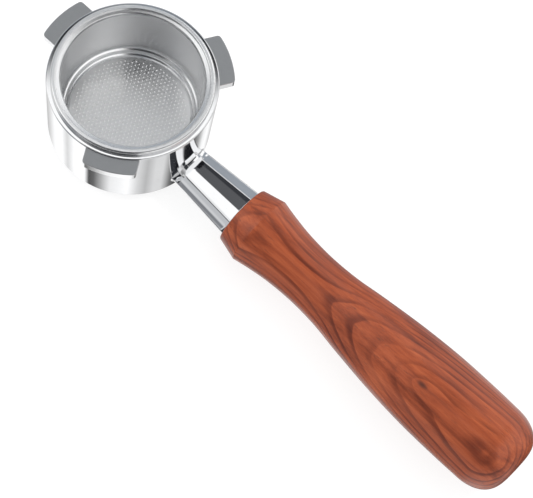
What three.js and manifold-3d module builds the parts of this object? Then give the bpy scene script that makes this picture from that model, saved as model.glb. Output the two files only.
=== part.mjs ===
// A bottomless portafilter: a polished ring with three bayonet lugs, a filter basket held by a wire
// spring, and a turned wooden handle that screws onto a stud in the ring's neck.
// Millimetres. +Z is the ring's axis, upwards. +X points from the ring towards the handle.
// The origin is on the ring's axis, at the height of its rim.

import * as THREE from 'three';
import { mergeVertices } from 'three/addons/utils/BufferGeometryUtils.js';
import Module from 'manifold-3d';

// Ring
const RIM_R = 32.5;            // outer radius at the rim
const FOOT_R = 31.6;           // outer radius at the bottom, smaller by the casting's draft
const RING_H = 35.3;
const BORE_R = 29.2;
const EDGE = 0.5;              // chamfer on the ring's edges

// Bayonet lugs
const LUG_R = 38.4;            // radius over the lugs
const LUG_W = 20.4;
const LUG_T = 3.6;
const LUG_TOP = -0.5;          // height of a lug's top face
const LUG_CORNER = 1.2;        // chamfer on a lug's outer corners
const LUG_ROOT_R = 28.5;       // where a lug starts, before it is trimmed to the ring's wall
const LUG_ANGLES = { lug_right: 60, lug_rear: 180, lug_left: -60 };

// Wire spring and its groove
const WIRE_R = 0.55;
const SPRING_Z = -2.9;
const SPRING_R = 29.75;        // the wire's centre where it lies deepest in the groove
const SPRING_FLAT_R = 28.85;   // the wire's centre where a flat bulges inwards
const SPRING_FLATS = 5;
const SPRING_GAP_DEG = 24;     // the opening between the wire's ends
const GROOVE_R = 30.6;
const GROOVE_H = 2.0;

// Filter basket
const BASKET_IN_R = 27;        // inside radius at the mouth
const BASKET_WALL = 0.65;
const BASKET_TAPER = 0.8;      // how much narrower the wall is at its foot
const BASKET_DEPTH = 28.5;     // from the rim's height to the underside of the floor
const FLANGE_R = 30.9;
const FLANGE_TOP = 1.9;
const FLANGE_CHAMFER = 0.6;
const FLANGE_ROLL = 2.1;       // width of the flange's raised edge
const FLANGE_DISH = 0.8;       // how far the flange lies below that edge further in
const FLANGE_BEND = [0.5, 1.5];         // the bend between wall and flange, outwards and down
const FLOOR_R = 23.4;          // radius where the floor meets its corner
const CORNER_H = 3.2;          // height of the curved corner between floor and wall
const CORNER_BULGE = [2, 0.8]; // the corner's middle, outwards and up from the floor's edge

// Neck and handle share one axis, which leaves the ring's axis below the rim and slopes down
const AXIS_Z = -26.9;
const AXIS_SLOPE_DEG = 3.2;

// Neck: a bar, wide and flat on top and deeper below, that steps down from a boss at the ring. A shallow
// channel widens along its top, and a shoulder and a round spigot carry the handle.
const NECK_ROOT_X = 27;        // inside the ring's wall, before the bar is trimmed to it
const NECK_END_X = 59.1;
const NECK_HALF_WIDTHS = [8.1, 10.9];   // at the root and at the end
const NECK_HALF_HEIGHT = 6.6;
const RAIL_RIDGE = 0.325;      // height of the top's middle, before the channel is cut, in half widths
const RAIL_FOOT = 1.02;        // where the top would reach the axis's height, in half widths
const RAIL_BOW = 1.5;          // 1 would make the top's two sides flat
const NECK_CHAMFER = 0.6;
const BOSS_HALF_WIDTH = 5.8;
const BOSS_TOP = 6.2;          // height over the axis
const BOSS_SQUARENESS = 4;     // 2 would make its top a parabola
const CHANNEL_START_X = 33;    // where the boss ends
const CHANNEL_RADII = [13.9, 18.6];     // at the channel's two ends
const CHANNEL_FLOOR = 1;       // height of the channel's lowest line over the axis
const SHOULDER_R = 9;
const SHOULDER_T = 0.3;
const SPIGOT_R = 8;
const SPIGOT_CHAMFER = 0.5;
const SPIGOT_END_X = 70;

// Washer between the neck's shoulder and the wood, let into the wood's front face
const WASHER_R = 10.4;
const WASHER_T = 0.6;

// Threaded stud and the brass insert in the wood; the threads are plain cylinders
const STUD_R = 4.9;
const STUD_START_X = 60.5;
const STUD_END_X = 90;
const STUD_TIP = 0.9;
const INSERT_START_X = 71;
const INSERT_END_X = 92;
const INSERT_FLANGE_T = 1.5;
const INSERT_RELIEF = 0.7;     // how much slimmer the insert is behind its flange

// Wooden handle, as [distance along the axis, radius]
const GRIP_START_X = 59.4;
const GRIP_END_X = 200.4;
const GRIP_SHAPE = [
  [68.4, 14.6], [75.5, 13.2], [84.5, 11.95], [96, 11.4], [108, 12.0], [121, 13.75],
  [139, 15.8], [157, 17.05], [174, 17.3], [186, 17.15],
];
const GRIP_FACE_R = 12.3;
const TIP_SQUARENESS = 0.55;   // under 1, the tip is blunter than a quarter circle

const GAP = 0.3;               // clearance between pieces that touch
const BEYOND = 5;              // how far a cutter reaches past what it cuts
const FINE = 72;               // steps round the ring and the basket
const ROUND = 48;              // steps round the neck and the handle
const MEDIUM = 36;             // steps round the spigot and the washer
const COARSE = 24;             // steps round the small pieces
const LUG_ARC_STEPS = 10;
const WIRE_STEPS = 60;         // along the spring's wire
const WIRE_ARC_STEPS = 4;      // round half of the wire
const GRIP_STEPS = 22;         // along the handle's side
const TIP_STEPS = 8;

const wasm = await Module();
wasm.setup();

const POLISHED = { color: 0xd4d7db, roughness: 0.08, metalness: 1 };
const SATIN = { color: 0x8f9396, roughness: 0.45, metalness: 1 };
const BASKET_STEEL = { color: 0xc9ccd0, roughness: 0.15, metalness: 1 };
const WIRE_STEEL = { color: 0xb5b8bb, roughness: 0.3, metalness: 1 };
const BRASS = { color: 0xc8a24a, roughness: 0.35, metalness: 1 };
const GASKET = { color: 0x26262a, roughness: 0.7, metalness: 0 };
const WOOD = { color: 0xa9512f, roughness: 0.4, metalness: 0 };

const radians = (degrees) => THREE.MathUtils.degToRad(degrees);
const points = (pairs) => pairs.map(([x, y]) => new THREE.Vector2(x, y));

// A closed solid from a geometry's position attribute alone.
function solid(geometry) {
  const bare = geometry.index ? geometry.toNonIndexed() : geometry.clone();
  bare.deleteAttribute('normal');
  bare.deleteAttribute('uv');
  const merged = mergeVertices(bare, 1e-4);
  return new wasm.Manifold(new wasm.Mesh({
    numProp: 3,
    vertProperties: Float32Array.from(merged.attributes.position.array),
    triVerts: Uint32Array.from(merged.index.array),
  }));
}

// A geometry from a solid, with flat-shaded normals.
function geometryOf(body) {
  const mesh = body.getMesh();
  const geometry = new THREE.BufferGeometry();
  geometry.setAttribute('position', new THREE.BufferAttribute(Float32Array.from(mesh.vertProperties), 3));
  geometry.setIndex(new THREE.BufferAttribute(Uint32Array.from(mesh.triVerts), 1));
  geometry.computeVertexNormals();
  return geometry;
}

// A lathe about Z from [radius, height] pairs, listed so that its faces point out.
function lathe(pairs, steps) {
  return new THREE.LatheGeometry(points(pairs), steps).rotateX(Math.PI / 2);
}

// A lathe about the neck's axis, from [distance along the axis, radius] pairs.
function turned(pairs, steps) {
  const profile = pairs.map(([along, radius]) => new THREE.Vector2(radius, along));
  return new THREE.LatheGeometry(profile, steps).rotateZ(-Math.PI / 2);
}

// Points from a curve through the pairs, at even steps.
function smooth(pairs, steps) {
  return new THREE.SplineCurve(points(pairs)).getSpacedPoints(steps).map((p) => [p.x, p.y]);
}

function piece(name, geometry, finish) {
  const mesh = new THREE.Mesh(geometry, new THREE.MeshStandardMaterial(finish));
  mesh.name = name;
  return mesh;
}

// Moves a shape made along X onto the neck's axis.
function ontoNeckAxis(geometry) {
  return geometry.rotateY(radians(AXIS_SLOPE_DEG)).translate(0, 0, AXIS_Z);
}

function ringBody() {
  const grooveTop = SPRING_Z + GROOVE_H / 2;
  const grooveBottom = SPRING_Z - GROOVE_H / 2;
  const profile = [
    [BORE_R + EDGE, -RING_H], [FOOT_R - EDGE, -RING_H], [FOOT_R, -RING_H + EDGE],
    [RIM_R, -EDGE], [RIM_R - EDGE, 0], [BORE_R + EDGE / 2, 0],
    [BORE_R, -EDGE / 2], [BORE_R, grooveTop], [GROOVE_R, grooveTop],
    [GROOVE_R, grooveBottom], [BORE_R, grooveBottom], [BORE_R, -RING_H + EDGE],
    [BORE_R + EDGE, -RING_H],
  ];
  return piece('ring_body', lathe(profile, FINE), POLISHED);
}

// The space that the ring and a clearance round it take up.
function ringClearance() {
  return solid(lathe([[0, -RING_H - BEYOND], [FOOT_R + GAP, -RING_H - BEYOND], [FOOT_R + GAP, -RING_H],
    [RIM_R + GAP, 0], [RIM_R + GAP, BEYOND], [0, BEYOND]], FINE));
}

function lug(name, angle) {
  const half = LUG_W / 2;
  const chordX = Math.sqrt(LUG_R ** 2 - half ** 2);
  const outline = new THREE.Shape();
  outline.moveTo(LUG_ROOT_R, -half);
  outline.lineTo(chordX - LUG_CORNER, -half);
  const corner = Math.asin((half - LUG_CORNER) / LUG_R);
  outline.absarc(0, 0, LUG_R, -corner, corner, false);
  outline.lineTo(chordX - LUG_CORNER, half);
  outline.lineTo(LUG_ROOT_R, half);
  const slab = new THREE.ExtrudeGeometry(outline, {
    depth: LUG_T, bevelEnabled: false, curveSegments: LUG_ARC_STEPS,
  });
  slab.translate(0, 0, LUG_TOP - LUG_T).rotateZ(radians(angle));
  return piece(name, geometryOf(solid(slab).subtract(ringClearance())), SATIN);
}

// The wire is a C whose radius dips inwards at each flat.
function basketSpring() {
  const sweep = 360 - SPRING_GAP_DEG;
  const dip = (SPRING_R - SPRING_FLAT_R) / 2;
  const route = [];
  for (let i = 0; i <= WIRE_STEPS; i += 1) {
    const angle = radians(SPRING_GAP_DEG / 2 + sweep * i / WIRE_STEPS);
    const radius = SPRING_R - dip * (1 - Math.cos(2 * Math.PI * SPRING_FLATS * i / WIRE_STEPS));
    route.push(new THREE.Vector3(radius * Math.cos(angle), radius * Math.sin(angle), SPRING_Z));
  }
  const section = new THREE.Shape().absarc(0, 0, WIRE_R, 0, 2 * Math.PI, false);
  const wire = new THREE.ExtrudeGeometry(section, {
    steps: WIRE_STEPS,
    curveSegments: WIRE_ARC_STEPS,
    bevelEnabled: false,
    extrudePath: new THREE.CatmullRomCurve3(route),
  });
  return piece('basket_spring', geometryOf(solid(wire)), WIRE_STEEL);
}

function filterBasket() {
  const floor = -BASKET_DEPTH;
  const outR = BASKET_IN_R + BASKET_WALL;
  const [bendOut, bendDown] = FLANGE_BEND;
  const [bulgeOut, bulgeUp] = CORNER_BULGE;
  const dish = FLANGE_TOP - FLANGE_DISH;
  const rollTop = FLANGE_TOP - FLANGE_CHAMFER;
  const profile = [
    [0, floor], [FLOOR_R, floor],
    [FLOOR_R + bulgeOut, floor + bulgeUp], [outR - BASKET_TAPER, floor + CORNER_H],
    [outR, GAP - bendDown], [outR + bendOut, GAP], [FLANGE_R - FLANGE_CHAMFER, GAP],
    [FLANGE_R, GAP + FLANGE_CHAMFER], [FLANGE_R, rollTop], [FLANGE_R - FLANGE_CHAMFER, FLANGE_TOP],
    [FLANGE_R - FLANGE_ROLL + FLANGE_CHAMFER, FLANGE_TOP], [FLANGE_R - FLANGE_ROLL, rollTop],
    [BASKET_IN_R + FLANGE_CHAMFER, dish], [BASKET_IN_R, dish - FLANGE_CHAMFER],
    [BASKET_IN_R - BASKET_TAPER, floor + CORNER_H],
    [FLOOR_R + bulgeOut - BASKET_WALL, floor + bulgeUp + BASKET_WALL],
    [FLOOR_R, floor + BASKET_WALL], [0, floor + BASKET_WALL],
  ];
  return piece('filter_basket', lathe(profile, FINE), BASKET_STEEL);
}

// How far along the neck a place is, from 0 at the root to 1 at the end.
const alongNeck = (x) => (x - NECK_ROOT_X) / (NECK_END_X - NECK_ROOT_X);

// An oval bar along X, from the neck's root to endX. Its width follows the neck's length, and topOf says how
// high its upper side is at a distance y from the middle.
function ovalBar(endX, halfWidths, topOf) {
  const inset = NECK_CHAMFER / NECK_HALF_HEIGHT;
  const bar = turned([[NECK_ROOT_X, 0], [NECK_ROOT_X, 1], [endX - NECK_CHAMFER, 1],
    [endX, 1 - inset], [endX, 0]], ROUND);
  const position = bar.attributes.position;
  for (let i = 0; i < position.count; i += 1) {
    const halfWidth = THREE.MathUtils.lerp(...halfWidths, alongNeck(position.getX(i)));
    const [y, z] = [position.getY(i) * halfWidth, position.getZ(i)];
    position.setY(i, y);
    position.setZ(i, z > 0 ? topOf(z, y, halfWidth) : z * NECK_HALF_HEIGHT);
  }
  return solid(bar);
}

// The channel's cutter widens towards the handle, and its lowest line stays at the channel's floor.
function channelCutter() {
  const endX = NECK_END_X + BEYOND;
  const length = NECK_END_X - CHANNEL_START_X;
  const radiusAt = (x) => THREE.MathUtils.lerp(...CHANNEL_RADII, (x - CHANNEL_START_X) / length);
  const bar = turned([[CHANNEL_START_X, 0], [CHANNEL_START_X, radiusAt(CHANNEL_START_X)],
    [endX, radiusAt(endX)], [endX, 0]], FINE);
  const position = bar.attributes.position;
  for (let i = 0; i < position.count; i += 1) {
    position.setZ(i, position.getZ(i) + CHANNEL_FLOOR + radiusAt(position.getX(i)));
  }
  return solid(bar);
}

function neck() {
  const shoulderX = NECK_END_X - SHOULDER_T;
  const spigot = turned([[shoulderX, 0], [shoulderX, SHOULDER_R], [NECK_END_X, SHOULDER_R],
    [NECK_END_X, SPIGOT_R], [SPIGOT_END_X - SPIGOT_CHAMFER, SPIGOT_R],
    [SPIGOT_END_X, SPIGOT_R - SPIGOT_CHAMFER], [SPIGOT_END_X, 0]], MEDIUM);
  const boreX = STUD_START_X - GAP;
  const boreEnd = SPIGOT_END_X + BEYOND;
  const bore = turned([[boreX, 0], [boreX, STUD_R + GAP], [boreEnd, STUD_R + GAP], [boreEnd, 0]], COARSE);
  const bossTop = (z, y, halfWidth) => BOSS_TOP * (1 - Math.abs(y / halfWidth) ** BOSS_SQUARENESS);
  const boss = ovalBar(CHANNEL_START_X, [BOSS_HALF_WIDTH, BOSS_HALF_WIDTH], bossTop);
  const railTop = (z, y, halfWidth) => Math.min(z * NECK_HALF_HEIGHT,
    RAIL_RIDGE * halfWidth * (1 - Math.abs(y / (RAIL_FOOT * halfWidth)) ** RAIL_BOW));
  const bar = ovalBar(NECK_END_X, NECK_HALF_WIDTHS, railTop);
  const shaped = bar.subtract(channelCutter()).add(boss).add(solid(spigot)).subtract(solid(bore));
  const placed = solid(ontoNeckAxis(geometryOf(shaped)));
  return piece('neck', geometryOf(placed.subtract(ringClearance())), POLISHED);
}

function handleStud() {
  const profile = [[STUD_START_X, 0], [STUD_START_X, STUD_R], [STUD_END_X - STUD_TIP, STUD_R],
    [STUD_END_X, STUD_R - STUD_TIP], [STUD_END_X, 0]];
  return piece('handle_stud', ontoNeckAxis(turned(profile, COARSE)), WIRE_STEEL);
}

function seatWasher() {
  const near = NECK_END_X + GAP;
  const far = near + WASHER_T;
  const inner = SPIGOT_R + GAP;
  const profile = [[near, inner], [near, WASHER_R], [far, WASHER_R], [far, inner], [near, inner]];
  return piece('seat_washer', ontoNeckAxis(turned(profile, MEDIUM)), GASKET);
}

function handleInsert() {
  const step = INSERT_START_X + INSERT_FLANGE_T;
  const slim = SPIGOT_R - INSERT_RELIEF;
  const inner = STUD_R + GAP;
  const profile = [[INSERT_START_X, inner], [INSERT_START_X, SPIGOT_R], [step, SPIGOT_R], [step, slim],
    [INSERT_END_X, slim], [INSERT_END_X, inner], [INSERT_START_X, inner]];
  return piece('handle_insert', ontoNeckAxis(turned(profile, COARSE)), BRASS);
}

function handleGrip() {
  const tip = [];
  const [beltX, beltR] = GRIP_SHAPE[GRIP_SHAPE.length - 1];
  for (let i = 1; i < TIP_STEPS; i += 1) {
    const angle = (i / TIP_STEPS) * Math.PI / 2;
    tip.push([beltX + (GRIP_END_X - beltX) * Math.sin(angle), beltR * Math.cos(angle) ** TIP_SQUARENESS]);
  }
  const pocketR = SPIGOT_R + GAP;
  const recessR = WASHER_R + GAP;
  const recessFloor = NECK_END_X + GAP + WASHER_T + GAP;
  const profile = [
    [INSERT_END_X + GAP, 0], [INSERT_END_X + GAP, pocketR], [recessFloor, pocketR], [recessFloor, recessR],
    [GRIP_START_X, recessR], [GRIP_START_X, GRIP_FACE_R],
    ...smooth(GRIP_SHAPE, GRIP_STEPS), ...tip, [GRIP_END_X, 0],
  ];
  return piece('handle_grip', ontoNeckAxis(turned(profile, ROUND)), WOOD);
}

const portafilter = new THREE.Group();
portafilter.add(ringBody());
for (const [name, angle] of Object.entries(LUG_ANGLES)) {
  portafilter.add(lug(name, angle));
}
portafilter.add(basketSpring(), filterBasket(), neck());
portafilter.add(handleStud(), seatWasher(), handleInsert(), handleGrip());

export default portafilter;
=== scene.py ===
"""A bottomless portafilter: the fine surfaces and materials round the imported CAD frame. Metres."""
import math

import bmesh
import bpy
from mathutils import Matrix, Vector
from mathutils.geometry import delaunay_2d_cdt

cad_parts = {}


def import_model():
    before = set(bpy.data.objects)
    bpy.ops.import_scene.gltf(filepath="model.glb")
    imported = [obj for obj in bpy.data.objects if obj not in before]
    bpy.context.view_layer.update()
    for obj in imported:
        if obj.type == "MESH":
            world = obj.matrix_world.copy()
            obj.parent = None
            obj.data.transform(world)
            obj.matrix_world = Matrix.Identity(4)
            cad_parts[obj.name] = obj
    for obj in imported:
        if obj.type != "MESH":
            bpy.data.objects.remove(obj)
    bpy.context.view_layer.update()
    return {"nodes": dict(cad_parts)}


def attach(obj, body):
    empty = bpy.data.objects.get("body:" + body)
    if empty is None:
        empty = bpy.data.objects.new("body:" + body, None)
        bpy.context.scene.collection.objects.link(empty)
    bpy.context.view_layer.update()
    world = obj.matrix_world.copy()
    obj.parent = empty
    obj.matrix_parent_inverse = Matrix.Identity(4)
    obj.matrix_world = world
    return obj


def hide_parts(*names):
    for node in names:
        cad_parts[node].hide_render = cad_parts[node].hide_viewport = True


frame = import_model()
MM = 0.001

# Ring
RIM_R = 32.5 * MM
FOOT_R = 31.6 * MM
RING_H = 35.3 * MM
BORE_R = 29.2 * MM
RIM_OUTER_EDGE = 0.4 * MM
RIM_INNER_EDGE = 0.25 * MM
FOOT_OUTER_EDGE = 0.45 * MM
FOOT_INNER_EDGE = 0.5 * MM
GROOVE_R = 30.6 * MM
GROOVE_H = 2.0 * MM
GROOVE_LIP = 0.12 * MM         # rounding where the groove opens into the bore
GROOVE_CORNER = 0.2 * MM       # rounding at the groove's bottom
SPRING_Z = -2.9 * MM

# Lugs
LUG_R = 38.4 * MM
LUG_ROOT_R = BORE_R + 1.2 * MM
LUG_W = 20.4 * MM
LUG_T = 3.6 * MM
LUG_TOP = -0.5 * MM
LUG_CORNER = 1.6 * MM
LUG_EDGE = 0.25 * MM
LUG_ARC_STEPS = 24
LUG_ANGLES = {"lug_right": 60, "lug_rear": 180, "lug_left": -60}

# Wire spring
WIRE_R = 0.55 * MM
SPRING_R = 29.75 * MM
SPRING_FLAT_R = 28.85 * MM
SPRING_FLATS = 5
SPRING_GAP = math.radians(24)
SPRING_STEPS = 240
WIRE_SIDES = 14

# Basket
BASKET_IN_R = 27 * MM
SHEET = 0.65 * MM
BASKET_DEPTH = 28.5 * MM
FLANGE_R = 30.9 * MM
FLANGE_TOP = 1.9 * MM
FLANGE_ROLL = 0.75 * MM
FLOOR_R = 23.4 * MM
WALL_TAPER = 0.8 * MM
CORNER_H = 3.2 * MM
HOLE_R = 0.3 * MM
HOLE_SIDES = 10
HOLE_PITCH = 1.65 * MM
HOLES_OUT_R = 22.3 * MM
PLATE_SIDES = 160
PLATE_OVERLAP = 0.02 * MM      # how far the plate's two faces stand proud of the wall's

# Neck and handle, along one axis that slopes down from the ring
AXIS_Z = -26.9 * MM
SLOPE = math.radians(3.2)
AXIS = Matrix.Translation((0, 0, AXIS_Z)) @ Matrix.Rotation(SLOPE, 4, "Y")
NECK_ROOT_X = 27 * MM
NECK_END_X = 59.1 * MM
NECK_HALF_WIDTHS = (8.1 * MM, 10.9 * MM)
NECK_HALF_HEIGHT = 6.6 * MM
RAIL_RIDGE = 0.325             # height of the top's middle, before the channel is cut, in half widths
RAIL_FOOT = 1.02               # where the top would reach the axis's height, in half widths
RAIL_BOW = 1.5                 # 1 would make the top's two sides flat
RAIL_ROUNDING = 3 * MM
NECK_FILLET = 2 * MM
FILLET_ABOVE_AND_BELOW = 0.15  # the fillet's size there, as a share of its size at the sides
BURIED = 0.03 * MM             # how deep the neck's root sits in the ring's wall
NECK_EDGE = 0.2 * MM           # rounding at the neck's end
BOSS_HALF_WIDTH = 5.8 * MM
BOSS_TOP = 6.2 * MM
BOSS_SQUARENESS = 4            # 2 would make its top a parabola
BOSS_FOOT = 1.3 * MM           # rounding between the boss and the rails
CHANNEL_START_X = 33 * MM
CHANNEL_RADII = (13.9 * MM, 18.6 * MM)
CHANNEL_FLOOR = 1 * MM
CHANNEL_EDGE = 0.15 * MM       # rounding along the channel's two edges
CHANNEL_END_LEAN = 0.7 * MM    # how far the channel's end wall leans over its height
SHOULDER_R = 9 * MM
SHOULDER_T = 0.3 * MM
SPIGOT_R = 8 * MM
SPIGOT_END_X = 70 * MM
WASHER_R = 10.4 * MM
WASHER_T = 0.6 * MM
WASHER_EDGE = 0.15 * MM
GAP = 0.3 * MM
STUD_R = 4.9 * MM
STUD_START_X = 60.5 * MM
STUD_END_X = 90 * MM
THREAD_PITCH = 1.5 * MM
THREAD_DEPTH = 0.8 * MM
THREAD_STEEPNESS = 2.6         # of the flanks, in depths to a pitch
THREAD_FLAT = 0.15             # a larger number makes the crests wider
THREAD_LEAD_IN = 0.6 * MM
THREAD_RUN_OUT = 1.2 * MM
INSERT_START_X = 71 * MM
INSERT_END_X = 92 * MM
INSERT_COLLAR = 1.5 * MM
INSERT_BARB = 2.4 * MM         # from one barb to the next
INSERT_SLIM_R = SPIGOT_R - 0.7 * MM

# Wooden handle, as (distance along the axis, radius) in millimetres
GRIP_SHAPE = [(68.4, 14.6), (75.5, 13.2), (84.5, 11.95), (96, 11.4), (108, 12.0), (121, 13.75),
              (139, 15.8), (157, 17.05), (174, 17.3), (186, 17.15)]
GRIP_START_X = 59.4 * MM
GRIP_END_X = 200.4 * MM
GRIP_FACE_R = 12.3 * MM
GRIP_STEPS = 8                 # to each span of the shape
TIP_STEPS = 40
TIP_SQUARENESS = 0.55          # 1 would make the tip an ellipse

# Mesh fineness. Each ROUND is steps to a turn
LARGE_ROUND = 256
WASHER_ROUND = 128
SMALL_ROUND = 96
STUD_ROUND = 64
STUD_ROWS_PER_TURN = 8
NECK_ROUND = 480
NECK_ROOT_ROWS = 16
NECK_ROOT_CROWDING = 1.6       # 1 would space the root's rows evenly
NECK_LEAN_ROWS = 12
NECK_BAR_ROWS = 20
NECK_EDGE_ROWS = 4
ROOT_SOLVE_STEPS = 8
FILLET_STEPS = 6
SMALL_FILLET_STEPS = 3
FILLET_SHARE = 0.49            # the most that a fillet takes of the edge beside it
GUARD = 0.05 * MM              # how far beyond a fillet the flat beside it is held flat
TINY = 1e-7                    # points this close are one


# ---------------------------------------------------------------- geometry

def polar(radius, angle):
    return radius * math.cos(angle), radius * math.sin(angle)


def lerp(ends, share):
    return ends[0] + (ends[1] - ends[0]) * share


def filleted(corners, closed=False, steps=FILLET_STEPS):
    """A profile through (a, b, fillet radius) corners. A guard point stands on each side with room for it."""
    out = []
    count = len(corners)
    for i, (a, b, radius) in enumerate(corners):
        here = Vector((a, b))
        if radius <= 0 or (not closed and i in (0, count - 1)):
            out.append(here)
            continue
        before = Vector(corners[i - 1][:2]) - here
        after = Vector(corners[(i + 1) % count][:2]) - here
        half = before.angle(after) / 2
        reach = min(radius / math.tan(half), before.length * FILLET_SHARE, after.length * FILLET_SHARE)
        radius = reach * math.tan(half)
        u, v = before.normalized(), after.normalized()
        centre = here + (u + v).normalized() * (radius / math.sin(half))
        first, last = here + u * reach - centre, here + v * reach - centre
        turn = first.angle_signed(last)
        if before.length / 2 - reach > GUARD:
            out.append(here + u * (reach + GUARD))
        for k in range(steps + 1):
            c, s = polar(1, -turn * k / steps)
            out.append(centre + Vector((first.x * c - first.y * s, first.x * s + first.y * c)))
        if after.length / 2 - reach > GUARD:
            out.append(here + v * (reach + GUARD))
    return out


def mesh_object(name, verts, faces):
    """A closed, smooth-shaded mesh with its faces turned outwards."""
    mesh = bpy.data.meshes.new(name)
    mesh.from_pydata([tuple(v) for v in verts], [], faces)
    mesh.validate()
    bm = bmesh.new()
    bm.from_mesh(mesh)
    bmesh.ops.remove_doubles(bm, verts=bm.verts, dist=TINY)
    bmesh.ops.recalc_face_normals(bm, faces=bm.faces)
    bm.to_mesh(mesh)
    bm.free()
    mesh.shade_smooth()
    obj = bpy.data.objects.new(name, mesh)
    bpy.context.scene.collection.objects.link(obj)
    return obj


def revolved(name, profile, steps, along_axis=False):
    """A lathe. The profile is (radius, height) about Z, or (distance, radius) along the handle's axis.

    A profile that starts on the axis also ends on it. Any other is closed from its last point to its first.
    """
    verts, rows = [], []
    for a, b in profile:
        radius = b if along_axis else a
        turns = 1 if radius < TINY else steps
        rows.append(range(len(verts), len(verts) + turns))
        for k in range(turns):
            p, q = polar(radius, 2 * math.pi * k / steps)
            verts.append(AXIS @ Vector((a, p, q)) if along_axis else Vector((p, q, b)))
    pairs = list(zip(rows, rows[1:]))
    if len(rows[0]) > 1:
        pairs.append((rows[-1], rows[0]))
    faces = []
    for low, high in pairs:
        for k in range(steps):
            n = (k + 1) % steps
            quad = [low[k % len(low)], low[n % len(low)], high[n % len(high)], high[k % len(high)]]
            face = list(dict.fromkeys(quad))
            if len(face) > 2:
                faces.append(face)
    return mesh_object(name, verts, faces)


def tube_faces(rows, sides):
    """Quads between rows of points, and a cap at each end."""
    faces = []
    for start in range(0, (rows - 1) * sides, sides):
        for k in range(sides):
            n = (k + 1) % sides
            faces.append([start + k, start + n, start + sides + n, start + sides + k])
    faces.append(list(range((rows - 1) * sides, rows * sides)))
    faces.append(list(range(sides - 1, -1, -1)))
    return faces


def sharpen(obj, degrees):
    """Smooth shading that stops at creases steeper than the angle."""
    obj.data.set_sharp_from_angle(angle=math.radians(degrees))


# ---------------------------------------------------------------- nodes

def rgba(colour):
    return (*colour, 1)


def grey(value):
    return (value,) * 3


def feed(tree, node, inputs):
    """Sets a node's inputs, by name or number. A value that is another node's socket is linked."""
    for key, value in inputs.items():
        if isinstance(value, bpy.types.NodeSocket):
            tree.links.new(value, node.inputs[key])
        else:
            node.inputs[key].default_value = value


def add(tree, kind, inputs, **settings):
    node = tree.nodes.new(kind)
    for key, value in settings.items():
        setattr(node, key, value)
    feed(tree, node, inputs)
    return node


def coordinates(tree, kind):
    return add(tree, "ShaderNodeTexCoord", {}).outputs[kind]


def components(tree, vector):
    outputs = add(tree, "ShaderNodeSeparateXYZ", {"Vector": vector}).outputs
    return [outputs[name] for name in "XYZ"]


def mapped(tree, vector, **changes):
    """A vector scaled, then turned, then moved."""
    return add(tree, "ShaderNodeMapping", {"Vector": vector, **changes}).outputs["Vector"]


def noise(tree, vector, scale, detail=2, roughness=0.5):
    inputs = {"Vector": vector, "Scale": scale, "Detail": detail, "Roughness": roughness}
    return add(tree, "ShaderNodeTexNoise", inputs).outputs["Fac"]


def maths(tree, operation, *values):
    return add(tree, "ShaderNodeMath", dict(enumerate(values)), operation=operation).outputs[0]


def ranged(tree, value, source, target, curve="LINEAR"):
    """A value carried from one span to another, and held beyond its ends."""
    inputs = {"Value": value, "From Min": source[0], "From Max": source[1],
              "To Min": target[0], "To Max": target[1]}
    return add(tree, "ShaderNodeMapRange", inputs, interpolation_type=curve).outputs["Result"]


def ramp(tree, value, entries, curve="LINEAR"):
    """A colour by position, from (position, colour) entries."""
    node = add(tree, "ShaderNodeValToRGB", {"Fac": value})
    node.color_ramp.interpolation = curve
    elements = node.color_ramp.elements
    elements.remove(elements[-1])
    elements[0].position = entries[0][0]
    elements[0].color = rgba(entries[0][1])
    for position, colour in entries[1:]:
        elements.new(position).color = rgba(colour)
    return node.outputs["Color"]


def mixed(tree, amount, under, over, blend_type="MIX"):
    inputs = {"Factor": amount, "A": under, "B": over}
    return add(tree, "ShaderNodeMix", inputs, data_type="RGBA", blend_type=blend_type).outputs["Result"]


def bumped(tree, height, strength, distance):
    inputs = {"Height": height, "Strength": strength, "Distance": distance}
    return add(tree, "ShaderNodeBump", inputs).outputs["Normal"]


def new_material(name):
    material = bpy.data.materials.new(name)
    material.use_nodes = True
    tree = material.node_tree
    return material, tree, tree.nodes["Principled BSDF"]


# ---------------------------------------------------------------- materials

BRIGHT_STEEL = (0.9, 0.905, 0.91)


def metal(name, colour, roughness, spread, scale, scratch=0.0):
    """Metal whose roughness varies by spread each way, with fine scratches as bump."""
    material, tree, shader = new_material(name)
    mottle = noise(tree, coordinates(tree, "Object"), scale, detail=6, roughness=0.6)
    darker = [channel * 0.94 for channel in colour]
    feed(tree, shader, {
        "Metallic": 1,
        "Roughness": ranged(tree, mottle, (0, 1), (roughness - spread, roughness + spread)),
        "Base Color": ramp(tree, mottle, [(0.3, darker), (0.7, colour)]),
    })
    if scratch:
        feed(tree, shader, {"Normal": bumped(tree, mottle, scratch, 0.05 * MM)})
    return material


def polish_sides(material, colour, roughness):
    """Leaves the metal as it is on top and underneath, and polishes its upright faces."""
    tree = material.node_tree
    shader = tree.nodes["Principled BSDF"]
    facing_z = components(tree, coordinates(tree, "Normal"))[2]
    flat = ranged(tree, maths(tree, "ABSOLUTE", facing_z), (0.4, 0.8), (0, 1))
    own_colour = shader.inputs["Base Color"].links[0].from_socket
    own_roughness = shader.inputs["Roughness"].links[0].from_socket
    feed(tree, shader, {
        "Base Color": mixed(tree, flat, rgba(colour), own_colour),
        "Roughness": ranged(tree, flat, (0, 1), (roughness, own_roughness)),
    })


def rubber():
    material, tree, shader = new_material("washer_rubber")
    mottle = noise(tree, coordinates(tree, "Object"), 1500, detail=3)
    feed(tree, shader, {
        "Base Color": ramp(tree, mottle, [(0.3, (0.012, 0.012, 0.013)), (0.7, (0.03, 0.03, 0.032))]),
        "Roughness": 0.65,
    })
    return material


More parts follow.
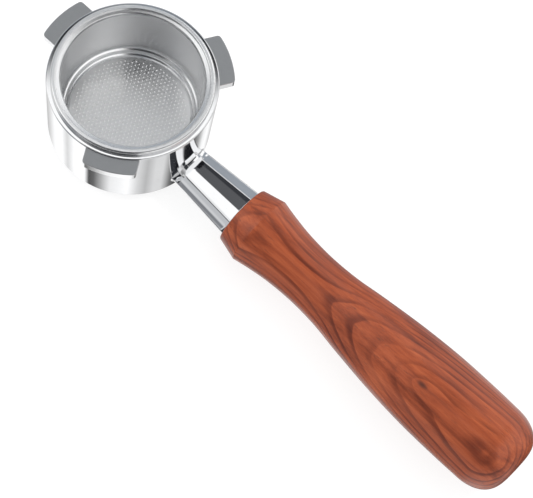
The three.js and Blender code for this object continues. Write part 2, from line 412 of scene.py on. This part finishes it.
GRAIN_TILT = math.radians(2.9)   # between the grain and the handle's axis, so that the rings make arcs
GRAIN_ROLL = math.radians(-20)
PITH_DEPTH = 85 * MM
RING_WANDER = 3.6 * MM
RINGS_PER_METRE = 520
KNOT = AXIS @ Vector((154 * MM, -6.2 * MM, 15.4 * MM))
KNOT_STRETCH = 0.45              # its width as a share of its length
KNOT_SWIRL = (1.5 * MM, 7 * MM)  # how much the rings bend beside the knot, and how far out they still bend
KNOT_CORE = (0.3 * MM, 1.5 * MM)
LATE_WOOD = (0.36, 0.25, 0.22)   # multiplies the base colour
PORE_COLOUR = (0.16, 0.038, 0.016)
KNOT_COLOUR = (0.07, 0.018, 0.01)


def rosewood():
    """Flat-sawn rosewood: growth rings about a far pith, with fine streaks and pores along the grain."""
    material, tree, shader = new_material("rosewood")
    place = coordinates(tree, "Object")
    grain = mapped(tree, place, Rotation=(GRAIN_ROLL, -SLOPE - GRAIN_TILT, 0))

    # Rings about the pith, wandering slowly
    _, across, up = components(tree, grain)
    height = maths(tree, "ADD", up, PITH_DEPTH)
    height_squared = maths(tree, "MULTIPLY", height, height)
    across_squared = maths(tree, "MULTIPLY", across, across)
    from_pith = maths(tree, "SQRT", maths(tree, "ADD", height_squared, across_squared))
    drift = noise(tree, mapped(tree, grain, Scale=(0.35, 1, 1)), 38, detail=3)
    rings = maths(tree, "MULTIPLY_ADD", drift, RING_WANDER, from_pith)

    # They bend round a small knot
    knot_place = (-KNOT_STRETCH * KNOT.x, -KNOT.y, -KNOT.z)
    from_knot = mapped(tree, place, Scale=(KNOT_STRETCH, 1, 1), Location=knot_place)
    knot = add(tree, "ShaderNodeVectorMath", {0: from_knot}, operation="LENGTH").outputs["Value"]
    swirl = ranged(tree, knot, (0, KNOT_SWIRL[1]), (KNOT_SWIRL[0], 0), "SMOOTHSTEP")
    phase = maths(tree, "FRACT", maths(tree, "MULTIPLY", maths(tree, "ADD", rings, swirl), RINGS_PER_METRE))
    late = ramp(tree, phase, [(0, grey(0.08)), (0.5, grey(0.2)), (0.84, grey(1)), (0.93, grey(0.95)),
                              (1, grey(0.08))], "EASE")

    # Fine streaks and pores, long along the grain, over patches where the late wood is darker
    along_grain = mapped(tree, grain, Scale=(0.05, 1, 1))
    streaks = noise(tree, along_grain, 1100, detail=5, roughness=0.7)
    broad = noise(tree, along_grain, 260, detail=6, roughness=0.7)
    base = ramp(tree, broad, [(0.34, (0.185, 0.033, 0.010)), (0.5, (0.315, 0.060, 0.017)),
                              (0.66, (0.43, 0.094, 0.028))])
    depth = ranged(tree, noise(tree, grain, 34), (0.35, 0.68), (0.2, 0.95))
    ringed = mixed(tree, maths(tree, "MULTIPLY", late, depth), base, rgba(LATE_WOOD), "MULTIPLY")
    pores = ramp(tree, streaks, [(0.3, grey(0)), (0.42, grey(1))])
    pored = mixed(tree, pores, rgba(PORE_COLOUR), ringed)
    core = ranged(tree, knot, KNOT_CORE, (0.85, 0), "SMOOTHSTEP")

    feed(tree, shader, {
        "Base Color": mixed(tree, core, pored, rgba(KNOT_COLOUR)),
        "Roughness": ranged(tree, broad, (0, 1), (0.3, 0.44)),
        "Normal": bumped(tree, streaks, 0.25, 0.1 * MM),
        "Specular IOR Level": 0.45,
        "Coat Weight": 0.15,
        "Coat Roughness": 0.16,
    })
    return material


POLISHED = metal("polished_steel", (0.86, 0.865, 0.875), 0.05, 0.02, 60)
LUG_STEEL = metal("lug_steel", (0.40, 0.41, 0.42), 0.42, 0.08, 900, 0.25)
polish_sides(LUG_STEEL, BRIGHT_STEEL, 0.16)
BASKET_STEEL = metal("basket_steel", BRIGHT_STEEL, 0.2, 0.03, 80)
FLOOR_STEEL = metal("floor_steel", (0.93, 0.935, 0.94), 0.46, 0.06, 300, 0.1)
WIRE_STEEL = metal("wire_steel", (0.62, 0.63, 0.64), 0.25, 0.05, 500)
STUD_STEEL = metal("stud_steel", (0.66, 0.67, 0.68), 0.3, 0.06, 400)
BRASS = metal("brass", (0.83, 0.62, 0.28), 0.28, 0.06, 400)
RUBBER = rubber()
ROSEWOOD = rosewood()


def finish_piece(obj, material, body, slot, *nodes):
    """Gives a piece its material, hangs it on the body that it rides on, and hides the CAD nodes that it
    stands for.
    """
    obj.data.materials.clear()
    obj.data.materials.append(material)
    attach(obj, body)
    if nodes:
        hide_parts(*nodes)


# ---------------------------------------------------------------- ring

def ring():
    top, bottom = SPRING_Z + GROOVE_H / 2, SPRING_Z - GROOVE_H / 2
    corners = [
        (BORE_R, -RING_H, FOOT_INNER_EDGE), (FOOT_R, -RING_H, FOOT_OUTER_EDGE),
        (RIM_R, 0, RIM_OUTER_EDGE), (BORE_R, 0, RIM_INNER_EDGE),
        (BORE_R, top, GROOVE_LIP), (GROOVE_R, top, GROOVE_CORNER),
        (GROOVE_R, bottom, GROOVE_CORNER), (BORE_R, bottom, GROOVE_LIP),
    ]
    obj = revolved("ring_visual", filleted(corners, closed=True), LARGE_ROUND)
    finish_piece(obj, POLISHED, "holder", "polished_steel", "ring_body")


def wall_radius(z):
    """The ring's outer radius at a height."""
    return RIM_R + (FOOT_R - RIM_R) * (-z / RING_H)


def lug(name, angle):
    """A flat lug with parallel sides and an arc for its outer end. Its root is buried in the ring's wall."""
    half = LUG_W / 2
    reach = math.sqrt(LUG_R ** 2 - half ** 2)
    last = math.asin((half - LUG_CORNER) / LUG_R)
    arc = [(*polar(LUG_R, -last + 2 * last * k / LUG_ARC_STEPS), 0) for k in range(1, LUG_ARC_STEPS)]
    outline = [(LUG_ROOT_R, -half, 0), (reach, -half, LUG_CORNER), *arc, (reach, half, LUG_CORNER),
               (LUG_ROOT_R, half, 0)]
    flat = filleted(outline, closed=True)
    turn = Matrix.Rotation(math.radians(angle), 4, "Z")
    verts = [turn @ Vector((p.x, p.y, z)) for z in (LUG_TOP, LUG_TOP - LUG_T) for p in flat]
    obj = mesh_object(name + "_visual", verts, tube_faces(2, len(flat)))
    bevel = obj.modifiers.new("edge", "BEVEL")
    bevel.width = LUG_EDGE
    bevel.segments = 3
    bevel.limit_method = "ANGLE"
    bevel.angle_limit = math.radians(50)
    bevel.harden_normals = True
    finish_piece(obj, LUG_STEEL, "holder", "lug_steel", name)


def spring():
    """The wire is a C whose radius dips inwards at each flat."""
    dip = (SPRING_R - SPRING_FLAT_R) / 2
    verts = []
    for i in range(SPRING_STEPS + 1):
        share = i / SPRING_STEPS
        angle = SPRING_GAP / 2 + (2 * math.pi - SPRING_GAP) * share
        radius = SPRING_R - dip * (1 - math.cos(2 * math.pi * SPRING_FLATS * share))
        for k in range(WIRE_SIDES):
            out, up = polar(WIRE_R, 2 * math.pi * k / WIRE_SIDES)
            verts.append((*polar(radius + out, angle), SPRING_Z + up))
    obj = mesh_object("basket_spring_visual", verts, tube_faces(SPRING_STEPS + 1, WIRE_SIDES))
    sharpen(obj, 60)
    finish_piece(obj, WIRE_STEEL, "holder", "wire_steel", "basket_spring")


# ---------------------------------------------------------------- basket

def basket_wall():
    """The wall and flange, from the floor's underside out, over the flange and back in to its top."""
    foot_z = -BASKET_DEPTH + CORNER_H
    floor_top = -BASKET_DEPTH + SHEET
    out_r = BASKET_IN_R + SHEET
    underside_and_wall = [
        (FLOOR_R, -BASKET_DEPTH, 0),
        (FLOOR_R + 2 * MM, -BASKET_DEPTH + 0.8 * MM, 2 * MM),
        (out_r - WALL_TAPER, foot_z, 2 * MM),
        (out_r, -1.2 * MM, 0.3 * MM),
        (out_r + 0.5 * MM, GAP, 0.4 * MM),
    ]
    flange = [
        (FLANGE_R, GAP, FLANGE_ROLL),
        (FLANGE_R, FLANGE_TOP, FLANGE_ROLL),
        (FLANGE_R - 1.9 * MM, FLANGE_TOP, 0.5 * MM),
        (FLANGE_R - 2.1 * MM, FLANGE_TOP - 0.55 * MM, 0.2 * MM),
        (BASKET_IN_R + 0.5 * MM, FLANGE_TOP - 0.7 * MM, 0.5 * MM),
    ]
    inside = [
        (BASKET_IN_R, FLANGE_TOP - 1.6 * MM, 0.8 * MM),
        (BASKET_IN_R - WALL_TAPER, foot_z + 0.2 * MM, 0.6 * MM),
        (BASKET_IN_R - WALL_TAPER - 0.9 * MM, foot_z - 0.3 * MM, 0.3 * MM),
        (FLOOR_R + 1.5 * MM, floor_top + 0.9 * MM, 1.2 * MM),
        (FLOOR_R, floor_top, 0),
    ]
    profile = filleted(underside_and_wall + flange + inside, closed=True)
    obj = revolved("basket_wall", profile, LARGE_ROUND)
    finish_piece(obj, BASKET_STEEL, "basket", "basket_steel", "filter_basket")


def perforated_disc():
    """The points and faces of a flat disc with a staggered field of round holes."""
    points, edges, hole_of_point = [], [], {}

    def circle(x, y, radius, count):
        start = len(points)
        for k in range(count):
            across, up = polar(radius, 2 * math.pi * k / count)
            points.append(Vector((x + across, y + up)))
            edges.append((start + k, start + (k + 1) % count))
        return range(start, start + count)

    circle(0, 0, FLOOR_R, PLATE_SIDES)
    row_height = HOLE_PITCH * math.sqrt(3) / 2
    rows = int(HOLES_OUT_R / row_height)
    count = int(HOLES_OUT_R / HOLE_PITCH) + 1
    for j in range(-rows, rows + 1):
        shift = HOLE_PITCH / 2 if j % 2 else 0
        for i in range(-count, count + 1):
            x, y = i * HOLE_PITCH + shift, j * row_height
            if math.hypot(x, y) + HOLE_R < HOLES_OUT_R:
                hole_of_point.update(dict.fromkeys(circle(x, y, HOLE_R, HOLE_SIDES), (i, j)))
    inside_only, merge_distance = 1, 1e-9
    verts, _, faces, sources, _, _ = delaunay_2d_cdt(points, edges, [], inside_only, merge_distance, True)
    hole_of = {new: hole_of_point.get(old) for new, olds in enumerate(sources) for old in olds}

    def in_a_hole(face):
        holes = {hole_of.get(v) for v in face}
        return len(holes) == 1 and None not in holes

    return verts, [list(face) for face in faces if not in_a_hole(face)]


def basket_floor():
    """Both sides of the perforated plate, and the walls of its holes and edge."""
    flat, faces = perforated_disc()
    n = len(flat)
    top, bottom = -BASKET_DEPTH + SHEET + PLATE_OVERLAP, -BASKET_DEPTH - PLATE_OVERLAP
    verts = [(v.x, v.y, z) for z in (top, bottom) for v in flat]
    edges = [edge for face in faces for edge in zip(face, face[1:] + face[:1])]
    used = set(edges)
    walls = [[b, a, a + n, b + n] for a, b in edges if (b, a) not in used]
    undersides = [[v + n for v in reversed(face)] for face in faces]
    obj = mesh_object("basket_floor", verts, faces + undersides + walls)
    sharpen(obj, 40)
    finish_piece(obj, FLOOR_STEEL, "basket", "basket_steel")


# ---------------------------------------------------------------- neck

def smooth_min(a, b, k):
    """The smaller of two heights, rounded over where they meet within k."""
    h = max(k - abs(a - b), 0) / k
    return min(a, b) - h * h * k / 4


def neck_section(along, angle, flare):
    """A point on the neck's skin, swollen by flare at its root: first a boss, then a bar with a channel."""
    c, s = polar(1, angle)
    half_width = lerp(NECK_HALF_WIDTHS, (along - NECK_ROOT_X) / (NECK_END_X - NECK_ROOT_X)) + flare
    rise = flare * FILLET_ABOVE_AND_BELOW
    y = half_width * c
    if s <= 0:
        return Vector((along, y, (NECK_HALF_HEIGHT + rise) * s))
    near_sides = min(1, 4 * s)   # the roundings vanish where the top meets the underside
    rails = RAIL_RIDGE * half_width * (1 - (abs(y) / (RAIL_FOOT * half_width)) ** RAIL_BOW)
    bar = smooth_min((NECK_HALF_HEIGHT + rise) * s, rails, RAIL_ROUNDING * near_sides)
    across = min(abs(y) / BOSS_HALF_WIDTH, 1)
    boss = (BOSS_TOP + rise) * (1 - across ** BOSS_SQUARENESS)
    uncut = -smooth_min(-bar, -boss, BOSS_FOOT * near_sides)
    radius = lerp(CHANNEL_RADII, (along - CHANNEL_START_X) / (NECK_END_X - CHANNEL_START_X))
    channel = CHANNEL_FLOOR + radius - math.sqrt(max(radius ** 2 - y * y, 0))
    cut = smooth_min(bar, channel, CHANNEL_EDGE)
    share = min(max((along - CHANNEL_START_X) / CHANNEL_END_LEAN, 0), 1)
    return Vector((along, y, lerp((uncut, cut), share)))


def root_on_wall(angle):
    """How far along the axis the neck's skin meets the ring's wall."""
    along = FOOT_R
    for _ in range(ROOT_SOLVE_STEPS):
        place = AXIS @ neck_section(along, angle, NECK_FILLET)
        along += math.sqrt((wall_radius(place.z) - BURIED) ** 2 - place.y ** 2) - place.x
    return along


def neck():
    """Rows run from the ring's wall to the flat end, closest together at the fillet and the channel's end."""
    lean = CHANNEL_END_LEAN
    angles = [2 * math.pi * k / NECK_ROUND for k in range(NECK_ROUND)]
    walls = [root_on_wall(angle) for angle in angles]
    root_end = CHANNEL_START_X - lean / 6
    bar = (CHANNEL_START_X + 1.5 * lean, NECK_END_X - NECK_EDGE)
    shares = [(k / NECK_ROOT_ROWS) ** NECK_ROOT_CROWDING for k in range(NECK_ROOT_ROWS)]
    rows = [[lerp((wall, root_end), share) for wall in walls] for share in shares]
    flat_rows = [CHANNEL_START_X + lean * k / NECK_LEAN_ROWS for k in range(-1, NECK_LEAN_ROWS + 2)]
    flat_rows += [lerp(bar, k / NECK_BAR_ROWS) for k in range(NECK_BAR_ROWS + 1)]
    rows += [[along] * NECK_ROUND for along in flat_rows]
    verts = []
    for row in rows:
        for along, angle, wall in zip(row, angles, walls):
            short = NECK_FILLET - min(along - wall, NECK_FILLET)
            flare = NECK_FILLET - math.sqrt(max(NECK_FILLET ** 2 - short ** 2, 0))
            verts.append(neck_section(along, angle, flare))
    last_row = verts[-NECK_ROUND:]
    for k in range(1, NECK_EDGE_ROWS + 1):
        rounding_in, rounding_on = polar(NECK_EDGE, k / NECK_EDGE_ROWS * math.pi / 2)
        for point in last_row:
            flat = Vector((0, point.y, point.z))
            shrunk = flat * (1 - (NECK_EDGE - rounding_in) / flat.length)
            verts.append(Vector((bar[1] + rounding_on, shrunk.y, shrunk.z)))
    faces = tube_faces(len(verts) // NECK_ROUND, NECK_ROUND)
    obj = mesh_object("neck_visual", [AXIS @ v for v in verts], faces)
    sharpen(obj, 50)
    finish_piece(obj, POLISHED, "holder", "polished_steel", "neck")


def spigot():
    """The neck's turned end, with its thin shoulder and the stud's socket."""
    bore = STUD_R + GAP
    shoulder_x = NECK_END_X - SHOULDER_T
    socket_x = STUD_START_X - GAP
    corners = [
        (shoulder_x - 1 * MM, 0, 0), (shoulder_x, SPIGOT_R * 0.1, 0), (shoulder_x, SHOULDER_R, 0.15 * MM),
        (NECK_END_X, SHOULDER_R, 0.15 * MM), (NECK_END_X, SPIGOT_R, 0), (SPIGOT_END_X, SPIGOT_R, 0.6 * MM),
        (SPIGOT_END_X, bore, 0.3 * MM), (socket_x, bore, 0.2 * MM), (socket_x, 0, 0),
    ]
    obj = revolved("neck_spigot", filleted(corners), SMALL_ROUND, along_axis=True)
    sharpen(obj, 35)
    finish_piece(obj, POLISHED, "holder", "polished_steel")


# ---------------------------------------------------------------- stud, washer, insert

def stud():
    """A rod along the handle's axis with a helical V thread."""
    length = STUD_END_X - STUD_START_X
    rows = int(length / (THREAD_PITCH / STUD_ROWS_PER_TURN))
    verts = []
    for i in range(rows + 1):
        x = STUD_START_X + length * i / rows
        taper = min(1, (x - STUD_START_X) / THREAD_LEAD_IN, (STUD_END_X - x) / THREAD_RUN_OUT)
        for k in range(STUD_ROUND):
            share = k / STUD_ROUND
            phase = (x / THREAD_PITCH - share) % 1
            cut = min(1, max(0, abs(phase - 0.5) * THREAD_STEEPNESS - THREAD_FLAT))
            radius = STUD_R - THREAD_DEPTH * max(cut, 1 - taper)
            verts.append(AXIS @ Vector((x, *polar(radius, 2 * math.pi * share))))
    obj = mesh_object("stud_visual", verts, tube_faces(rows + 1, STUD_ROUND))
    sharpen(obj, 50)
    finish_piece(obj, STUD_STEEL, "holder", "stud_steel", "handle_stud")


def washer():
    near, inner = NECK_END_X + GAP, SPIGOT_R + GAP
    far = near + WASHER_T
    outline = [(near, inner), (near, WASHER_R), (far, WASHER_R), (far, inner)]
    profile = filleted([(*point, WASHER_EDGE) for point in outline], closed=True, steps=SMALL_FILLET_STEPS)
    obj = revolved("washer_visual", profile, WASHER_ROUND, along_axis=True)
    finish_piece(obj, RUBBER, "washer", "washer_rubber", "seat_washer")


def insert():
    """A collar at the front, then barbs, each steep on its far side."""
    inner = STUD_R + GAP
    x = INSERT_START_X + INSERT_COLLAR
    corners = [(INSERT_START_X, inner, 0.3 * MM), (INSERT_START_X, SPIGOT_R, 0.2 * MM),
               (x, SPIGOT_R, 0.2 * MM), (x, INSERT_SLIM_R, 0.2 * MM)]
    while x + 2 * INSERT_BARB < INSERT_END_X:
        corners.append((x + 0.8 * INSERT_BARB, SPIGOT_R - 0.1 * MM, 0.1 * MM))
        x += INSERT_BARB
        corners.append((x, INSERT_SLIM_R, 0.1 * MM))
    corners += [(INSERT_END_X, INSERT_SLIM_R, 0.4 * MM), (INSERT_END_X, inner, 0.3 * MM)]
    profile = filleted(corners, closed=True, steps=SMALL_FILLET_STEPS)
    obj = revolved("insert_visual", profile, SMALL_ROUND, along_axis=True)
    sharpen(obj, 35)
    finish_piece(obj, BRASS, "handle", "brass", "handle_insert")


# ---------------------------------------------------------------- handle

def catmull(points, steps):
    """Points along a Catmull-Rom curve, steps to each span."""
    ends = [points[0] * 2 - points[1], *points, points[-1] * 2 - points[-2]]
    out = []
    for p0, p1, p2, p3 in zip(ends, ends[1:], ends[2:], ends[3:]):
        for k in range(steps):
            t = k / steps
            out.append(0.5 * ((2 * p1) + (p2 - p0) * t + (2 * p0 - 5 * p1 + 4 * p2 - p3) * t ** 2
                              + (3 * p1 - p0 - 3 * p2 + p3) * t ** 3))
    return out + [points[-1]]


def grip():
    """The wood, with a recess for the washer and a pocket for the spigot and the insert."""
    body = catmull([Vector((x * MM, r * MM)) for x, r in GRIP_SHAPE], GRIP_STEPS)
    belt_x, belt_r = body[-1]
    tip = []
    for k in range(1, TIP_STEPS):
        c, s = polar(1, k / TIP_STEPS * math.pi / 2)
        tip.append(Vector((belt_x + (GRIP_END_X - belt_x) * s, belt_r * c ** TIP_SQUARENESS)))
    tip.append(Vector((GRIP_END_X, 0)))
    pocket_x, pocket_r = INSERT_END_X + GAP, SPIGOT_R + GAP
    recess_x, recess_r = NECK_END_X + WASHER_T + 2 * GAP, WASHER_R + GAP
    joined = GRIP_STEPS // 2   # the shape's first points make way for the collar's rounding
    front = filleted([
        (pocket_x, 0, 0), (pocket_x, pocket_r, 0.3 * MM), (recess_x, pocket_r, 0.2 * MM),
        (recess_x, recess_r, 0.15 * MM), (GRIP_START_X, recess_r, 0.15 * MM),
        (GRIP_START_X, GRIP_FACE_R, 0.5 * MM), (*body[0], 0.9 * MM), (*body[joined], 0)])
    obj = revolved("grip_visual", front[:-1] + body[joined:] + tip, LARGE_ROUND, along_axis=True)
    sharpen(obj, 60)
    finish_piece(obj, ROSEWOOD, "handle", "wood", "handle_grip")


# ---------------------------------------------------------------- studio

# What the steel mirrors. Azimuth is from +X towards +Y and elevation from the horizon, both in degrees.
BRIGHT = 1.2
PALE = grey(BRIGHT)
CHARCOAL = (0.045, 0.047, 0.053)
SLATE = (0.11, 0.113, 0.12)
MID_GREY = (0.36, 0.39, 0.43)
LIGHT_GREY = (0.60, 0.61, 0.63)
DIM_GREY = (0.24, 0.25, 0.27)
BLACK = (0.012, 0.012, 0.015)

# Grey by azimuth, for what lies below the horizon
FLOOR_BANDS = [
    (-180, 1.1), (-160, 1.2), (-147, 0.8), (-133, 1.2), (-114, 1.2), (-107, 0.1), (-98, 0.16),
    (-86, 0.5), (-72, 1.0), (-45, 1.2), (-30, 0.8), (-17, 0.56), (-4, 0.8), (8, 0.8), (22, 0.2),
    (34, 0.03), (55, 0.1), (68, 0.4), (80, 1.0), (92, 1.1), (110, 0.65), (128, 0.55), (150, 0.6),
    (165, 0.8), (180, 1.1),
]
BANDS_BELOW = (-200, -22, 18)   # lowest and highest elevation, softness
WALL_BRIGHTENS = (24, 42)       # elevations
WALL_LOW_GREY = 0.6

# (azimuths), (elevations), softness, colour
WALL_PANELS = [
    ((30, 97), (6, 60.5), 0.8, PALE),
    ((97, 130), (-62, 35), 0.8, MID_GREY),
    ((-101.3, -35), (4, 66), 1.0, CHARCOAL),
    ((-132, -104), (-60, 61), 4.0, DIM_GREY),
    ((-150, -98), (62, 84), 2.5, LIGHT_GREY),
]

# Turn about the zenith, then spans east and north on a ceiling one unit up, softness, colour
CEILING_PANELS = [
    (38.7, (-2, 0.14), (0.49, 1.2), 0.015, MID_GREY),
    (38.7, (-2, 0.14), (0.488, 0.525), 0.012, BLACK),
    (0, (-0.225, 0.15), (-0.36, 0.362), 0.012, SLATE),
    (0, (-0.225, 0.15), (-0.35, -0.13), 0.03, CHARCOAL),
    (0, (0.12, 0.45), (-0.8, 1.4), 0.02, BLACK),
]
CEILING_ABOVE = (20, 200, 4)    # lowest and highest elevation, softness

OBJECT_MIDDLE = Vector((0.08, 0, -0.03))
FLOOR_SIZE = 30
FLOOR_GLOW = 0.78

LENS = 143
CAMERA_TARGET = Vector((75.5, -3.8, -30)) * MM
CAMERA_DISTANCE = 803 * MM
CAMERA_AZIMUTH = math.radians(28.47)
CAMERA_ELEVATION = math.radians(67.93)
CAMERA_ROLL = math.radians(15.19)


def stage_floor():
    """A glowing floor in the plane that the ring's foot and the handle rest on."""
    foot = Vector((-FOOT_R, 0, -RING_H))
    wood = frame["nodes"]["handle_grip"].data.vertices
    slope = min((v.co.z - foot.z) / (v.co.x - foot.x) for v in wood)
    bpy.ops.mesh.primitive_circle_add(vertices=96, radius=FLOOR_SIZE, fill_type="NGON")
    floor = bpy.context.object
    floor.name = "studio_floor"
    floor.matrix_world = Matrix.Translation(foot) @ Matrix.Rotation(-math.atan(slope), 4, "Y")
    material, tree, shader = new_material("studio_floor")
    mottle = noise(tree, coordinates(tree, "Generated"), 2)
    feed(tree, shader, {
        "Base Color": ramp(tree, mottle, [(0.3, (0.27, 0.27, 0.272)), (0.7, (0.28, 0.28, 0.28))]),
        "Roughness": 0.9,
        "Specular IOR Level": 0.1,
        "Emission Color": (1, 1, 1, 1),
        "Emission Strength": FLOOR_GLOW,
    })
    floor.data.materials.append(material)
    floor.visible_glossy = False


def mask(tree, value, low, high, soft):
    """1 between low and high, falling to 0 over soft on each side of both."""
    rise = ranged(tree, value, (low - soft, low + soft), (0, 1), "SMOOTHSTEP")
    fall = ranged(tree, value, (high - soft, high + soft), (1, 0), "SMOOTHSTEP")
    return maths(tree, "MULTIPLY", rise, fall)


def patch(tree, across, span_across, up, span_up, soft):
    """1 inside a rectangle with soft edges."""
    sides, ends = mask(tree, across, *span_across, soft), mask(tree, up, *span_up, soft)
    return maths(tree, "MULTIPLY", sides, ends)


def world():
    """The floor and the wood see plain white. The steel mirrors pale walls and the panels laid over them."""
    scene = bpy.context.scene
    scene.world = bpy.data.worlds.new("studio")
    scene.world.use_nodes = True
    tree = scene.world.node_tree

    # A direction's azimuth and elevation in degrees, and its place on a ceiling one unit up
    x, y, z = components(tree, coordinates(tree, "Generated"))
    azimuth = maths(tree, "MULTIPLY", maths(tree, "ARCTAN2", y, x), 180 / math.pi)
    elevation = maths(tree, "MULTIPLY", maths(tree, "ARCSINE", z), 180 / math.pi)
    above = maths(tree, "MAXIMUM", z, 0.001)
    east, north = maths(tree, "DIVIDE", x, above), maths(tree, "DIVIDE", y, above)

    turn = maths(tree, "MULTIPLY_ADD", azimuth, 1 / 360, 0.5)
    bands = ramp(tree, turn, [(degrees / 360 + 0.5, grey(shade)) for degrees, shade in FLOOR_BANDS])
    walls = ranged(tree, elevation, WALL_BRIGHTENS, (WALL_LOW_GREY, BRIGHT), "SMOOTHSTEP")
    colour = mixed(tree, mask(tree, elevation, *BANDS_BELOW), walls, bands)
    for azimuths, elevations, soft, shade in WALL_PANELS:
        colour = mixed(tree, patch(tree, azimuth, azimuths, elevation, elevations, soft), colour, rgba(shade))
    overhead = mask(tree, elevation, *CEILING_ABOVE)
    for angle, across, along, soft, shade in CEILING_PANELS:
        c, s = polar(1, math.radians(angle))
        a = maths(tree, "ADD", maths(tree, "MULTIPLY", east, c), maths(tree, "MULTIPLY", north, s))
        b = maths(tree, "SUBTRACT", maths(tree, "MULTIPLY", north, c), maths(tree, "MULTIPLY", east, s))
        amount = maths(tree, "MULTIPLY", patch(tree, a, across, b, along, soft), overhead)
        colour = mixed(tree, amount, colour, rgba(shade))

    mirrored = add(tree, "ShaderNodeLightPath", {}).outputs["Is Glossy Ray"]
    feed(tree, tree.nodes["Background"], {"Color": mixed(tree, mirrored, (1, 1, 1, 1), colour)})


def area_light(name, place, size, power):
    """A round light aimed at the object's middle. The steel doesn't mirror it."""
    data = bpy.data.lights.new(name, "AREA")
    data.shape = "DISK"
    data.size = size
    data.energy = power
    obj = bpy.data.objects.new(name, data)
    bpy.context.scene.collection.objects.link(obj)
    obj.location = place
    obj.rotation_mode = "QUATERNION"
    obj.rotation_quaternion = (OBJECT_MIDDLE - Vector(place)).to_track_quat("-Z", "Y")
    obj.visible_glossy = False


def camera():
    """A long lens from above the handle's left, rolled so that the handle falls to the lower right."""
    data = bpy.data.cameras.new("camera")
    data.sensor_width = 36
    data.lens = LENS
    data.clip_start = 0.01
    data.clip_end = 100
    obj = bpy.data.objects.new("camera", data)
    bpy.context.scene.collection.objects.link(obj)
    level, height = polar(1, CAMERA_ELEVATION)
    back = Vector((math.sin(CAMERA_AZIMUTH) * level, -math.cos(CAMERA_AZIMUTH) * level, height))
    obj.location = CAMERA_TARGET + back * CAMERA_DISTANCE
    unrolled = (-back).to_track_quat("-Z", "Y").to_matrix().to_4x4()
    obj.rotation_mode = "QUATERNION"
    obj.rotation_quaternion = (unrolled @ Matrix.Rotation(CAMERA_ROLL, 4, "Z")).to_quaternion()
    bpy.context.scene.camera = obj


camera()
stage_floor()
world()
area_light("key", (0.55, 0.75, 1.1), 0.5, 7)
area_light("fill", (-0.6, -0.7, 0.8), 0.9, 3)
bpy.context.scene.view_settings.view_transform = "Standard"

ring()
for lug_name, lug_angle in LUG_ANGLES.items():
    lug(lug_name, lug_angle)
spring()
basket_wall()
basket_floor()
neck()
spigot()
stud()
washer()
insert()
grip()
